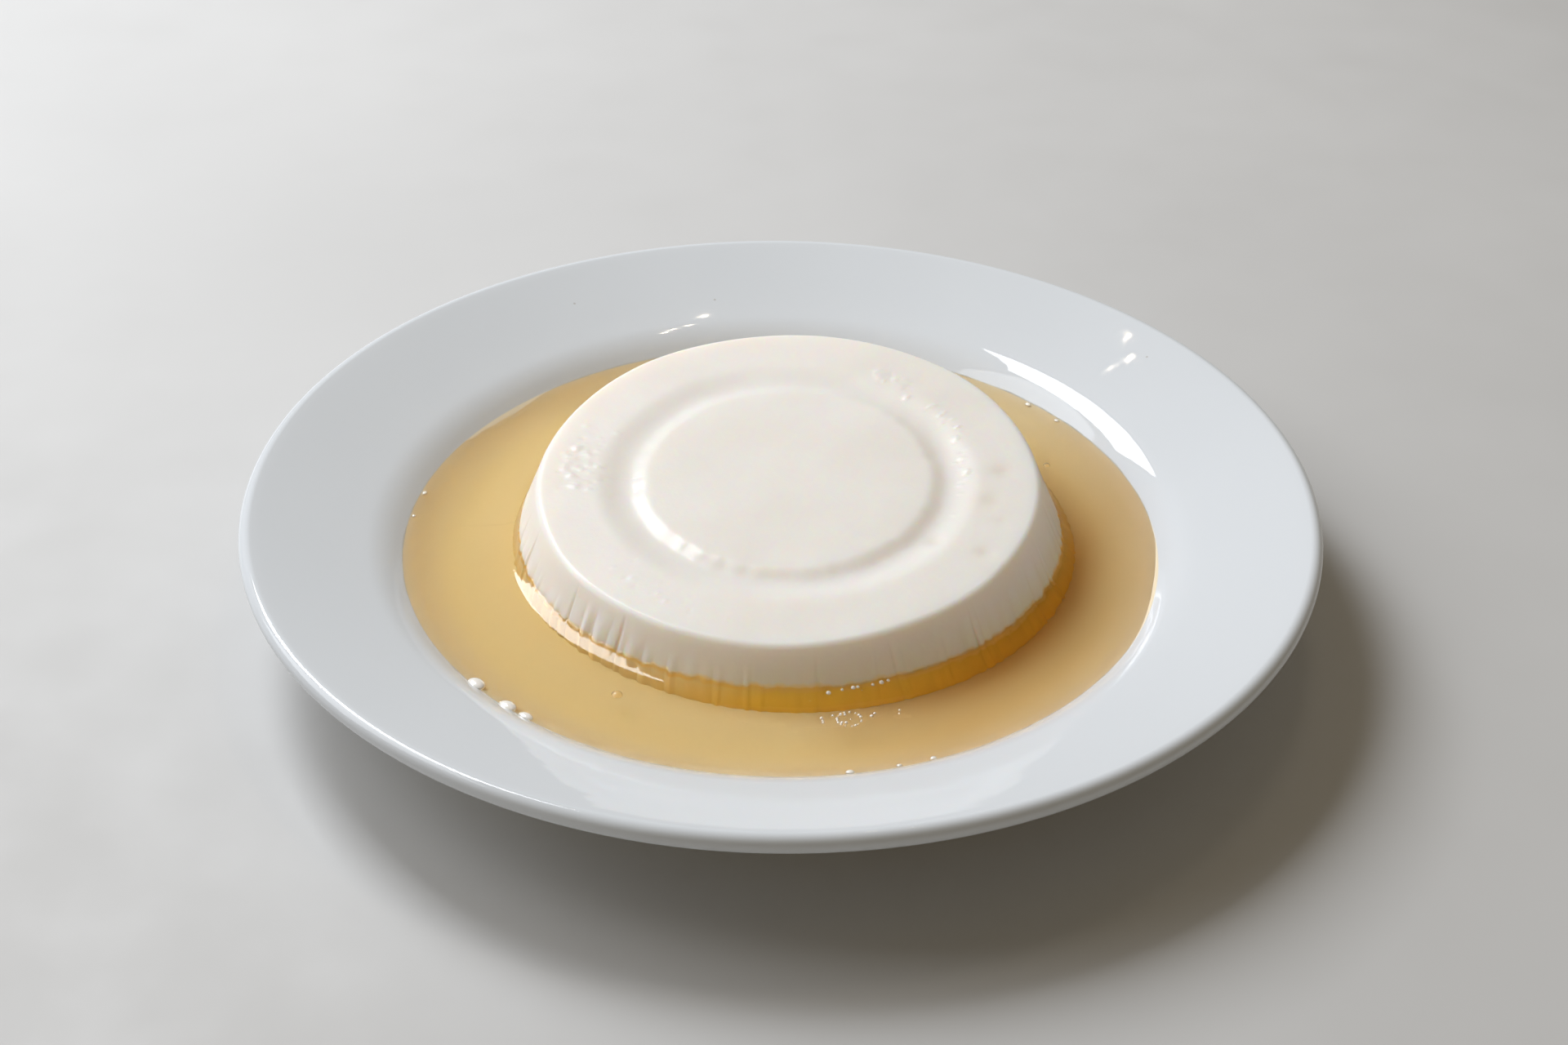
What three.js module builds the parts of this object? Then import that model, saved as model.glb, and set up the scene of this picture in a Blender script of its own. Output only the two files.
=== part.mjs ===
// A panna cotta turned out of a crimped tart mould into a white soup plate,
// standing in a pool of amber syrup. Millimetres, +Z up. The origin is on the
// table under the middle of the plate, and -Y is the side nearest the diner.
// Three solids: the plate, the syrup round the dessert, and the dessert.

import * as THREE from 'three';

// ---------------------------------------------------------------------------
// Driving dimensions
// ---------------------------------------------------------------------------

const GAP = 0.3;                    // clearance where one solid meets another

// Soup plate. Slopes are in degrees above the horizontal, going outwards.
const FLOOR_Z = 6.5;                // top of the well's flat floor
const FLOOR_R = 66.6;               // where the floor starts to curve up
const WELL_FILLET = 14;             // curve from the floor into the wall
const WALL_SLOPE = 42;
const WALL_TOP_Z = 13.5;            // where the wall starts to bend over
const SHOULDER_R = 16;              // bend from the wall to the rim
const RIM_SLOPE = 21.6;
const THICKNESS = 4.3;              // porcelain under the well and the wall
const LIP_R = 108.1;                // circle of the rolled lip's middle
const LIP_Z = 23.8;
const LIP_ROLL = 1.9;               // the lip's own radius
const RIM_UNDER_SLOPE = 23;
const FOOT_OUTER_R = 65.4;
const FOOT_INNER_R = 60.2;
const FOOT_ROUND = 0.9;             // rounding of the foot ring's two edges
const FOOT_DRAFT = 0.5;             // how far each side of the foot leans in
const FOOT_SLOPE = 8;               // slope of the underside next to the foot
const PLATE_SEGMENTS = 80;

// Dessert: a flared round cake whose top leans towards the diner, because the
// cream set on a slope. The floor end is the wide end.
const BASE_Z = FLOOR_Z + GAP;
const BASE_R = 60.5;
const BASE_CENTRE = new THREE.Vector2(1.7, 3.7);
const TOP_R = 52.7;                 // sharp corner, before the edge is rounded
const TOP_CENTRE = new THREE.Vector2(0.4, 3.0);
const TOP_Z = 24.3;                 // height of the sloping top over the origin
const TOP_LEAN_X = 1.04;            // degrees, rising towards +X
const TOP_LEAN_Y = 5.22;            // degrees, rising towards +Y
const EDGE_ROUND = 2.0;             // how far the rounding reaches each way
const UPPER_SIDE = 0.72;            // share of the side's height where it has a ring

// Crimps of the mould's wall, pressed into the side.
const PLEATS = 96;
const PLEAT_DEPTH = 0.55;
const PLEAT_JITTER = 0.5;           // of half a pleat
const PLEAT_SEED = 20417;

// Ring groove that the mould's base leaves in the top.
const GROOVE_CENTRE = new THREE.Vector2(1.3, 3.2);
const GROOVE_OUTER_R = 39.2;
const GROOVE_BOTTOM_R = 33.2;
const GROOVE_INNER_R = 28.9;
const GROOVE_DEPTH = 1.6;
const DISC_DROP = 0.2;              // middle disc below the outer ring
const TOP_SEGMENTS = 96;

// Syrup pool.
const SYRUP_LEVEL = 12.2;
const MENISCUS = 0.35;              // climb where the syrup touches a wall
const MENISCUS_FADE = 1.3;          // distance over which the climb fades
const MENISCUS_STEPS = [0.8, 2.2];  // distances from the wall shown on its curve
const FLAT_FROM = 5;                // distance from the wall where it is level
const CONTACT_Z = SYRUP_LEVEL + MENISCUS;

const PLATE_LOOK = { color: 0xe4e7ea, roughness: 0.12, metalness: 0 };
const SYRUP_LOOK = { color: 0xdfb878, roughness: 0.05, metalness: 0 };
const CREAM_LOOK = { color: 0xf2eee5, roughness: 0.35, metalness: 0 };

// ---------------------------------------------------------------------------
// Helpers
// ---------------------------------------------------------------------------

const TAU = 2 * Math.PI;
const radians = THREE.MathUtils.degToRad;

// Seeded generator of numbers from 0 to 1.
function seededRandom(seed) {
  let state = seed;
  return () => {
    state = (state * 16807) % 2147483647;
    return state / 2147483647;
  };
}

// Points of an arc in a (radius, height) section, ends included. Angles are in
// degrees, counted from the outward direction towards the upward one.
function arc(centre, radius, from, to, steps) {
  const points = [];
  for (let i = 0; i <= steps; i += 1) {
    const angle = radians(from + ((to - from) * i) / steps);
    const r = centre.x + radius * Math.cos(angle);
    const z = centre.y + radius * Math.sin(angle);
    points.push(new THREE.Vector2(r, z));
  }
  return points;
}

function last(points) {
  return points[points.length - 1];
}

// A step of the given length along a slope, in a (radius, height) section.
function along(point, slope, length) {
  const angle = radians(slope);
  return new THREE.Vector2(point.x + length * Math.cos(angle), point.y + length * Math.sin(angle));
}

// A level ring of points, counter-clockwise seen from above.
function circle(centre, radius, count, height) {
  const points = [];
  for (let i = 0; i < count; i += 1) {
    const angle = (TAU * i) / count;
    const x = centre.x + radius * Math.cos(angle);
    const y = centre.y + radius * Math.sin(angle);
    points.push(new THREE.Vector3(x, y, height));
  }
  return points;
}

// Triangles between two rings that may differ in count; one point is a centre.
function stitch(a, b, triangles) {
  const stepsA = a.length > 1 ? a.length : 0;
  const stepsB = b.length > 1 ? b.length : 0;
  let i = 0;
  let j = 0;
  while (i < stepsA || j < stepsB) {
    const nextA = i < stepsA ? (i + 1) / stepsA : Infinity;
    const nextB = j < stepsB ? (j + 1) / stepsB : Infinity;
    const fromA = a[i % a.length];
    const fromB = b[j % b.length];
    if (nextA <= nextB) {
      i += 1;
      triangles.push(fromA, a[i % a.length], fromB);
    } else {
      j += 1;
      triangles.push(fromA, b[j % b.length], fromB);
    }
  }
}

// A closed body from rings listed in order: outwards underneath, up the
// outside, and inwards over the top. A looped body joins its last ring to its
// first.
function loft(rings, looped) {
  const triangles = [];
  const joins = looped ? rings.length : rings.length - 1;
  for (let i = 0; i < joins; i += 1) {
    stitch(rings[i], rings[(i + 1) % rings.length], triangles);
  }
  const geometry = new THREE.BufferGeometry().setFromPoints(triangles);
  geometry.computeVertexNormals();
  return geometry;
}

function solid(name, geometry, look) {
  const mesh = new THREE.Mesh(geometry, new THREE.MeshStandardMaterial(look));
  mesh.name = name;
  return mesh;
}

// ---------------------------------------------------------------------------
// Plate
// ---------------------------------------------------------------------------

const wellCentre = new THREE.Vector2(FLOOR_R, FLOOR_Z + WELL_FILLET);

// Section of the plate: over the top from the axis to the lip, then back
// underneath by the foot ring. On an arc, -90 is its lowest point.
function plateSection() {
  const well = arc(wellCentre, WELL_FILLET, -90, WALL_SLOPE - 90, 5);
  const wallRun = (WALL_TOP_Z - last(well).y) / Math.sin(radians(WALL_SLOPE));
  const wallTop = along(last(well), WALL_SLOPE, wallRun);
  const shoulderCentre = along(wallTop, WALL_SLOPE - 90, SHOULDER_R);
  const shoulder = arc(shoulderCentre, SHOULDER_R, WALL_SLOPE + 90, RIM_SLOPE + 90, 3);
  const lipCentre = new THREE.Vector2(LIP_R, LIP_Z);
  const lip = arc(lipCentre, LIP_ROLL, RIM_SLOPE + 90, RIM_UNDER_SLOPE - 90, 7);

  const underRimSpan = last(lip).x - last(shoulder).x - THICKNESS / 2;
  const underRimRun = underRimSpan / Math.cos(radians(RIM_UNDER_SLOPE));
  const underShoulder = along(last(lip), RIM_UNDER_SLOPE, -underRimRun);
  const underWallTop = along(wallTop, WALL_SLOPE - 90, THICKNESS);
  const underWell = arc(wellCentre, WELL_FILLET + THICKNESS, WALL_SLOPE - 90, FOOT_SLOPE - 90, 3);

  const undersideZ = FLOOR_Z - THICKNESS;
  const footOuter = new THREE.Vector2(FOOT_OUTER_R - FOOT_DRAFT - FOOT_ROUND, FOOT_ROUND);
  const footInner = new THREE.Vector2(FOOT_INNER_R + FOOT_DRAFT + FOOT_ROUND, FOOT_ROUND);
  const foot = [
    new THREE.Vector2(FOOT_OUTER_R, undersideZ),
    ...arc(footOuter, FOOT_ROUND, 0, -90, 2),
    ...arc(footInner, FOOT_ROUND, -90, -180, 2),
    new THREE.Vector2(FOOT_INNER_R, undersideZ),
  ];

  return [
    new THREE.Vector2(0, FLOOR_Z),
    ...well,
    ...shoulder,
    ...lip,
    underShoulder,
    underWallTop,
    ...underWell,
    ...foot,
    new THREE.Vector2(0, undersideZ),
  ];
}

function makePlate() {
  const geometry = new THREE.LatheGeometry(plateSection().reverse(), PLATE_SEGMENTS);
  geometry.rotateX(Math.PI / 2);
  return solid('plate', geometry, PLATE_LOOK);
}

// ---------------------------------------------------------------------------
// Dessert
// ---------------------------------------------------------------------------

const leanX = Math.tan(radians(TOP_LEAN_X));
const leanY = Math.tan(radians(TOP_LEAN_Y));

function topHeight(x, y) {
  return TOP_Z + leanX * x + leanY * y;
}

// The side's points round the dessert: a ridge and a valley for every crimp,
// each with an uneven place and depth.
function makeCrimps() {
  const random = seededRandom(PLEAT_SEED);
  const crimps = [];
  for (let i = 0; i < 2 * PLEATS; i += 1) {
    const shift = (random() - 0.5) * PLEAT_JITTER;
    const angle = (TAU * (i + shift)) / (2 * PLEATS);
    const direction = new THREE.Vector2(Math.cos(angle), Math.sin(angle));
    const relief = (i % 2 ? -0.5 : 0.5) * PLEAT_DEPTH * (0.5 + random());
    const base = direction.clone().multiplyScalar(BASE_R).add(BASE_CENTRE);
    const top = direction.clone().multiplyScalar(TOP_R).add(TOP_CENTRE);
    crimps.push({
      direction,
      relief,
      base: new THREE.Vector3(base.x, base.y, BASE_Z),
      corner: new THREE.Vector3(top.x, top.y, topHeight(top.x, top.y)),
    });
  }
  return crimps;
}

const crimps = makeCrimps();

// A point of one crimp, from 0 at the base to 1 at the top corner. The crimps
// fade towards the top. The clearance pushes the point outwards.
function sidePoint(crimp, share, clearance) {
  const reach = crimp.relief * (1 - share * share) + clearance;
  const point = crimp.base.clone().lerp(crimp.corner, share);
  point.x += reach * crimp.direction.x;
  point.y += reach * crimp.direction.y;
  return point;
}

function sideRing(share) {
  return crimps.map((crimp) => sidePoint(crimp, share, 0));
}

function sideRingAtHeight(height, clearance) {
  return crimps.map((crimp) => {
    const share = (height - BASE_Z) / (crimp.corner.z - BASE_Z);
    return sidePoint(crimp, share, clearance);
  });
}

// The rounded top edge: a quadratic curve from the side, round the corner, to
// the sloping top. A turn of 0 is on the side and 1 on the top.
function edgeRing(turn) {
  return crimps.map((crimp) => {
    const side = crimp.base.clone().sub(crimp.corner).setLength(EDGE_ROUND).add(crimp.corner);
    const x = crimp.corner.x - EDGE_ROUND * crimp.direction.x;
    const y = crimp.corner.y - EDGE_ROUND * crimp.direction.y;
    const top = new THREE.Vector3(x, y, topHeight(x, y));
    const toCorner = side.lerp(crimp.corner, turn);
    return toCorner.lerp(crimp.corner.clone().lerp(top, turn), turn);
  });
}

// A ring of the sloping top, lowered by the given depth.
function topRing(centre, radius, depth, count) {
  const ring = circle(centre, radius, count, 0);
  ring.forEach((point) => point.setZ(topHeight(point.x, point.y) - depth));
  return ring;
}

// Half a wave from 0 to 1, level at both ends.
function ease(share) {
  return 0.5 - 0.5 * Math.cos(Math.PI * share);
}

// The groove in the top, from its outer edge down and up to the middle disc.
function grooveRings() {
  const rings = [];
  for (const share of [0, 0.3, 0.55, 0.8, 1]) {
    const radius = GROOVE_OUTER_R + (GROOVE_BOTTOM_R - GROOVE_OUTER_R) * share;
    rings.push(topRing(GROOVE_CENTRE, radius, GROOVE_DEPTH * ease(share), TOP_SEGMENTS));
  }
  for (const share of [0.25, 0.5, 0.75, 1]) {
    const radius = GROOVE_BOTTOM_R + (GROOVE_INNER_R - GROOVE_BOTTOM_R) * share;
    const depth = GROOVE_DEPTH + (DISC_DROP - GROOVE_DEPTH) * ease(share);
    rings.push(topRing(GROOVE_CENTRE, radius, depth, TOP_SEGMENTS));
  }
  return rings;
}

function makeDessert() {
  const baseInner = circle(BASE_CENTRE, BASE_R / 2, TOP_SEGMENTS / 2, BASE_Z);
  const outerBandR = (TOP_R + GROOVE_OUTER_R) / 2;
  const geometry = loft([
    circle(BASE_CENTRE, 0, 1, BASE_Z),
    baseInner,
    sideRing(0),
    sideRingAtHeight(CONTACT_Z, 0),
    sideRing(UPPER_SIDE),
    edgeRing(0),
    edgeRing(0.35),
    edgeRing(0.65),
    edgeRing(1),
    topRing(TOP_CENTRE, outerBandR, 0, TOP_SEGMENTS),
    ...grooveRings(),
    topRing(GROOVE_CENTRE, GROOVE_INNER_R / 2, DISC_DROP, TOP_SEGMENTS / 2),
    topRing(GROOVE_CENTRE, 0, DISC_DROP, 1),
  ], false);
  return solid('panna_cotta', geometry, CREAM_LOOK);
}

// ---------------------------------------------------------------------------
// Syrup
// ---------------------------------------------------------------------------

function syrupHeight(distance) {
  return SYRUP_LEVEL + MENISCUS * Math.exp(-distance / MENISCUS_FADE);
}

// Rings of the syrup where it lies on the plate, from the floor up the wall.
function syrupOuterRings() {
  const section = arc(wellCentre, WELL_FILLET - GAP, -90, WALL_SLOPE - 90, 3);
  const climb = (CONTACT_Z - last(section).y) / Math.sin(radians(WALL_SLOPE));
  const contact = along(last(section), WALL_SLOPE, climb);
  section.push(contact);
  for (const distance of [...MENISCUS_STEPS, FLAT_FROM]) {
    section.push(new THREE.Vector2(contact.x - distance, syrupHeight(distance)));
  }
  const middle = new THREE.Vector2(0, 0);
  return section.map((point) => circle(middle, point.x, PLATE_SEGMENTS, point.y));
}

// Rings of the syrup's skin close to the dessert, coming in to the contact.
function syrupInnerRings() {
  return [...MENISCUS_STEPS].reverse().map((distance) => {
    const ring = sideRingAtHeight(SYRUP_LEVEL, GAP + distance);
    ring.forEach((point) => point.setZ(syrupHeight(distance)));
    return ring;
  });
}

function makeSyrup() {
  const geometry = loft([
    sideRingAtHeight(BASE_Z, GAP),
    ...syrupOuterRings(),
    ...syrupInnerRings(),
    sideRingAtHeight(CONTACT_Z, GAP),
  ], true);
  return solid('syrup', geometry, SYRUP_LOOK);
}

// ---------------------------------------------------------------------------
// The whole dish
// ---------------------------------------------------------------------------

const dish = new THREE.Group();
dish.add(makePlate(), makeSyrup(), makeDessert());

export default dish;
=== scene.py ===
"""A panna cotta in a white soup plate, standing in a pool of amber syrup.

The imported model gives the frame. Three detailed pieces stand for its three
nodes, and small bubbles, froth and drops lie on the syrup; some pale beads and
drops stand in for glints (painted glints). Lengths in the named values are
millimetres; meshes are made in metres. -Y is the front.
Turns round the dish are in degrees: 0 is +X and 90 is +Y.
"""

import math
from types import SimpleNamespace

import bpy
import numpy as np
from mathutils import Matrix, Vector


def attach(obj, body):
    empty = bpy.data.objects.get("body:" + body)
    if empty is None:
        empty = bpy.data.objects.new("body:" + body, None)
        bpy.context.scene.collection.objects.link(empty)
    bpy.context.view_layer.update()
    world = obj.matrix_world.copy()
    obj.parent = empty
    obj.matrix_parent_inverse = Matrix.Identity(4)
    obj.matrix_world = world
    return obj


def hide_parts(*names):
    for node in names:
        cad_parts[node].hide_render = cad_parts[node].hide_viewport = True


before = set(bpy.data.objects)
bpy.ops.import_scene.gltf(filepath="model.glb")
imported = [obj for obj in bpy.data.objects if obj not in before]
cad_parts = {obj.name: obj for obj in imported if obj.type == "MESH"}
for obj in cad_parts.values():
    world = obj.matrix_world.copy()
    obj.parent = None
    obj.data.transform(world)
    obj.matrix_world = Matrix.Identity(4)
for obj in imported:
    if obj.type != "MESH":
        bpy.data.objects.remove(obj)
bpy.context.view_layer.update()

MM = 0.001
TAU = 2 * math.pi

# --- Plate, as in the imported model, but rounder at the shoulder --------------
FLOOR_Z = 6.5
FLOOR_R = 66.6
WELL_FILLET = 14.0
WALL_SLOPE = 42.0
WALL_TOP_Z = 13.5
SHOULDER_R = 19.0
RIM_SLOPE = 21.6
THICKNESS = 4.3
LIP_R = 108.1
LIP_Z = 23.8
LIP_ROLL = 1.9
RIM_UNDER_SLOPE = 23.0
# How far the bend under the shoulder reaches each way
UNDER_BEND = 3.0
FOOT_OUTER_R = 65.4
FOOT_INNER_R = 60.2
FOOT_ROUND = 0.9
FOOT_DRAFT = 0.5
FOOT_SLOPE = 8.0
# Where the foot meets the underside: how far from its face, and how far down
FOOT_JOIN_OUTER = [(0.7, -0.02), (0.2, 0.15), (0.0, 0.5)]
FOOT_JOIN_INNER = [(0.0, 0.5), (0.2, 0.15), (0.7, 0.0)]
PLATE_AROUND = 360
PLATE_SEED = 7
WARP_WAVES = (2, 3, 5)
RIM_WARP = 0.12

# Steps of the stretches of the plate's section
FLOOR_STEPS = 8
WELL_STEPS = 22
WALL_STEPS = 4
SHOULDER_STEPS = 16
RIM_STEPS = 12
LIP_STEPS = 20
BEND_STEPS = 6
UNDER_WALL_STEPS = 2
UNDER_WELL_STEPS = 14
FOOT_ROUND_STEPS = 7
FOOT_FACE_STEPS = 3

# --- Dessert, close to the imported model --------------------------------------
BASE_R = 59.5
BASE_CENTRE = np.array([1.8, 3.5])
TOP_R = 51.9
TOP_CENTRE = np.array([1.3, 3.0])
TOP_Z = 24.3
LEAN_X = math.tan(math.radians(1.04))
LEAN_Y = math.tan(math.radians(5.22))
EDGE_ROUND = 1.1
GROOVE_CENTRE = np.array([1.3, 3.2])
GROOVE_OUTER_R = 40.4
GROOVE_BOTTOM_R = 33.2
GROOVE_INNER_R = 28.9
GROOVE_DEPTH = 1.15
DISC_DROP = 0.2
# Change of the groove's depth, its turn and width
GROOVE_SHALLOWER = (-0.45, 105, 50)
# Its gap to the well's floor
DESSERT_LIFT = 0.04
# The foot is steeper on one side: by how much, up to which share of the
# side's height, and its turn and width
DRAWN_IN = 2.4
DRAWN_SHARE = 0.42
DRAWN_SIDE = (-158.0, 56.0)
# The side away from the lights, where the soaked foot and the cream above it get painted shade
SHADED_SIDE = (0.5, -0.86)
# The side away from the lights, where painted shadow darkens the syrup round the dessert and its
# soaked foot most
DARKEST_SHADE_SIDE = (0.9, -0.44)

# The outline's wobble
OUTLINE_SEED = 12
OUTLINE_COUNTS = (2, 3, 5, 8)
OUTLINE_SIZES = (0.05, 0.12)

# Wobble of the groove's two edges and its depth: numbers of waves, and size
TOP_SEED = 5
OUTER_EDGE_WAVES = ((2, 3, 7, 11), 0.22)
INNER_EDGE_WAVES = ((2, 5, 9, 17, 31, 43), 0.24)
DEPTH_WAVES = ((2, 3, 6), 0.09)
# Swells and ripples of the top: lengths of waves, and size
TOP_SWELLS = ((19, 24, 31, 40, 52), 0.07)
TOP_RIPPLES = ((5.1, 6.3, 7.7, 9.0, 11.0), 0.012)

# The dessert's rings: shares of the underside's radius, a fine first ring as a
# share of the side, and steps of the side, edge, top and disc in the groove
DESSERT_AROUND = 1200
UNDERSIDE_SHARES = (0.6, 0.998)
FOOT_RING = 0.004
SIDE_STEPS = 15
EDGE_STEPS = 8
TOP_STEPS = 43
DISC_STEPS = 10
DISC_MARGIN = 1
CENTRE_RING_R = 2

# Crimps of the tart mould in the side: ranges of depth, and of the shares of
# a crimp's width where it peaks and of the side's height where it ends
CRIMPS = 116
CRIMP_SEED = 61
CRIMP_SCATTER = 0.38
CRIMP_DEPTH = (0.12, 0.52)
CRIMP_BIAS = 1.2
CRIMP_PEAK = (0.35, 0.65)
CRIMP_WIDTH = (0.24, 0.42)
CRIMP_MEAN = 0.35
CRIMP_END = (0.55, 0.95)
CRIMP_FADE = 0.45
CRIMP_LEAN = 0.012
CREASE_SHARE = 0.3
CREASE_DEPTH = 0.3
CREASE_WIDTH = 0.3
# Strength everywhere, and the stronger stretches: strength, turn and width
CRIMP_STRENGTH = 0.5
CRIMPED_STRETCHES = [(0.95, -140, 36), (0.7, -15, 38), (0.2, 90, 60)]
# The relief that turns the painted hollow shade from one end of its range to the
# other, and how much of a dimple's depth counts towards that shade
CRIMP_SPAN = 0.7
DIMPLE_SHADE_SHARE = 0.55

# --- Syrup ------------------------------------------------------------------
SYRUP_LEVEL = 12.2
SYRUP_AROUND = 1200
# The pool's edge on the plate: how high, how far out it is felt, its waves and
# its changes by size, turn and width
EDGE_SEED = 31
MENISCUS = 0.35
MENISCUS_FADE = 1.3
EDGE_WAVES = [((3, 5, 8, 13), 0.07), ((29, 37, 51), 0.05)]
EDGE_CHANGES = [(-0.85, -13, 13), (-0.9, 143, 8)]
RAGGED_STRETCH = (1.0, 146, 14)
RAGGED_WAVES = ((60, 74), 0.12)
# The skin climbs the dessert in a broad curve: its height there, and more or
# less of it by size, turn and width; its slope there, where it ends, and the
# distance in which the skin is back at the level
CLIMB_SEED = 32
INNER_CLIMB = 0.35
CLIMB_WAVES = ((4, 7, 11), 0.05)
CLIMB_CHANGES = [(0.3, -145, 30), (0.3, -48, 16), (-0.35, 0, 22)]
INNER_SLOPE = 0.42
INNER_REACH = 5.6
RETURN_REACH = 13.0
# Ripples of the skin, and a bent ridge in it at the front
POOL_SEED = 33
POOL_RIPPLES = ((14, 18, 23, 31), 0.02)
CALM_REACH = 4.0
RIDGE_CENTRE = (12.0, -60.0)
RIDGE_R = 11.5
RIDGE_HEIGHT = 0.1
RIDGE_WIDTH = 1.3
# The skin's rings are finer near both of its edges
SKIN_FINE = 6.0
SKIN_FINE_STEPS = 12
SKIN_FINE_POWER = 1.6
SKIN_STEPS = 21
# How far the syrup goes into the plate and the dessert, so that no gap shows
SYRUP_BITE = 0.25
HOLE_SHARES = (0.75, 0.5, 0.25)

# --- Looks: linear colours, and roughness ------------------------------------
GLAZE_TONES = ((0.735, 0.765, 0.795), (0.755, 0.785, 0.815))
GLAZE_ROUGHNESS = (0.02, 0.04)
SPECK_COLOUR = (0.42, 0.38, 0.33)
SPECK_SCALE = 240
SPECK_RARITY = 0.988
SPECK_STRENGTH = 0.5
BARE_COLOUR = (0.70, 0.67, 0.61)
BARE_ROUGHNESS = 0.72
STAIN_LOW = (0.985, 0.98, 0.97)
STAIN_HIGH = (0.985, 0.91, 0.72)
# Painted shadow of the dessert on the pool's floor
PAINTED_POOL_SHADOW = (0.74, 0.50, 0.20)
UNDER_SYRUP_ROUGHNESS = 0.6
CREAM_TONES = ((0.905, 0.858, 0.80), (0.93, 0.888, 0.84))
CREAM_ROUGHNESS = (0.40, 0.52)
CREAM_GLOW = (1.0, 0.6, 0.32)
CREAM_GLOW_REACH = 6.0
# Painted shade in the crimps' hollows and the dimples
PAINTED_HOLLOW_SHADE = (0.74, 0.65, 0.50)
# Painted warm shade, low on the side away from the lights
PAINTED_WARM_SHADE = (0.93, 0.84, 0.62)
SOAKED_PALE = (0.98, 0.90, 0.74)
# The soaked foot's colour on the shaded side and in the darkest shade: soaking, and painted shade
SOAKED_AND_SHADED = (1.0, 0.74, 0.16)
SOAKED_AND_DARKEST_SHADE = (0.78, 0.48, 0.03)
SOAKED_ROUGHNESS = 0.8
WATERLINE_COLOUR = (1.0, 0.70, 0.22)
SYRUP_SURFACE = (1.0, 0.985, 0.94)
SYRUP_COLOUR = (0.995, 0.80, 0.22)
SYRUP_DENSITY = 89.0
FROTH_TONES = ((1.0, 0.93, 0.82), (1.0, 0.97, 0.92))
FROTH_ROUGHNESS = (0.15, 0.3)
FILM_COLOUR = (1.0, 0.93, 0.78)
FILM_ROUGHNESS = (0.0, 0.05)
FLOOR_TONES = ((0.60, 0.595, 0.585), (0.63, 0.625, 0.615))
FLOOR_ROUGHNESS = (0.55, 0.7)
# The height and the distance over which colours change
HEIGHT_SPAN = 20
REACH_SPAN = 100


def ease(share):
    """Half a wave from 0 to 1, level at both ends."""
    return 0.5 - 0.5 * np.cos(np.pi * np.clip(share, 0, 1))


def swell(x, size, centre, width):
    """A bell-shaped swell of this size round a centre."""
    return size * np.exp(-(((x - centre) / width) ** 2))


def round_angles(count):
    """Angles of this many points round a circle."""
    return np.arange(count) * TAU / count


def turn_of(angle):
    """Degrees from -180 to 180."""
    return np.degrees((angle + math.pi) % TAU - math.pi)


def arc(centre, radius, start, stop, steps):
    """Points of an arc in a (radius, height) section, ends included."""
    angles = np.radians(np.linspace(start, stop, steps + 1))
    return [(centre[0] + radius * math.cos(a), centre[1] + radius * math.sin(a)) for a in angles]


def along(point, slope, length):
    """A step along a slope, in a (radius, height) section."""
    angle = math.radians(slope)
    return (point[0] + length * math.cos(angle), point[1] + length * math.sin(angle))


def line(start, stop, steps):
    """Points between two section points, without the ends."""
    shares = [(i + 1) / (steps + 1) for i in range(steps)]
    return [tuple(a + (b - a) * s for a, b in zip(start, stop)) for s in shares]


def waves(angle, counts, size, rng):
    """A smooth closed wobble round a circle, with the given numbers of waves."""
    total = np.zeros_like(angle)
    for count in counts:
        total += rng.uniform(0.4, 1.0) * np.cos(count * angle + rng.uniform(0, TAU))
    return size * total / math.sqrt(len(counts))


def ripples(x, y, lengths, size, rng):
    """A smooth uneven field over the plane, from waves of these lengths."""
    total = np.zeros_like(x)
    for length in lengths:
        heading = rng.uniform(0, TAU)
        phase = rng.uniform(0, TAU)
        run = x * math.cos(heading) + y * math.sin(heading)
        total += np.cos(TAU * run / length + phase)
    return size * total / math.sqrt(len(lengths))


def piece_from(name, points, faces, material):
    """A smooth mesh object from points in millimetres."""
    mesh = bpy.data.meshes.new(name)
    mesh.from_pydata((np.asarray(points) * MM).tolist(), [], faces)
    mesh.polygons.foreach_set("use_smooth", [True] * len(mesh.polygons))
    mesh.materials.append(material)
    mesh.validate()
    piece = bpy.data.objects.new(name, mesh)
    bpy.context.scene.collection.objects.link(piece)
    return piece


def loft_faces(rings, looped, start=0):
    """Faces between rings of equal count, or a centre point, in order:
    outwards underneath, up the outside, inwards over the top."""
    starts = np.cumsum([start] + [len(ring) for ring in rings])
    faces = []
    for i in range(len(rings) if looped else len(rings) - 1):
        k = (i + 1) % len(rings)
        a, b = int(starts[i]), int(starts[k])
        count = max(len(rings[i]), len(rings[k]))
        for j in range(count):
            n = (j + 1) % count
            if len(rings[i]) == 1:
                faces.append((a, b + n, b + j))
            elif len(rings[k]) == 1:
                faces.append((a + j, a + n, b))
            else:
                faces.append((a + j, a + n, b + n, b + j))
    return faces


def loft(name, rings, material, looped=False):
    """One object from rings of points."""
    return piece_from(name, np.concatenate(rings), loft_faces(rings, looped), material)


# ---------------------------------------------------------------------------
# Materials
# ---------------------------------------------------------------------------


def rgba(value):
    """An opaque colour from a colour or a grey."""
    return (*(value if isinstance(value, tuple) else (value,) * 3), 1)


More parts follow.
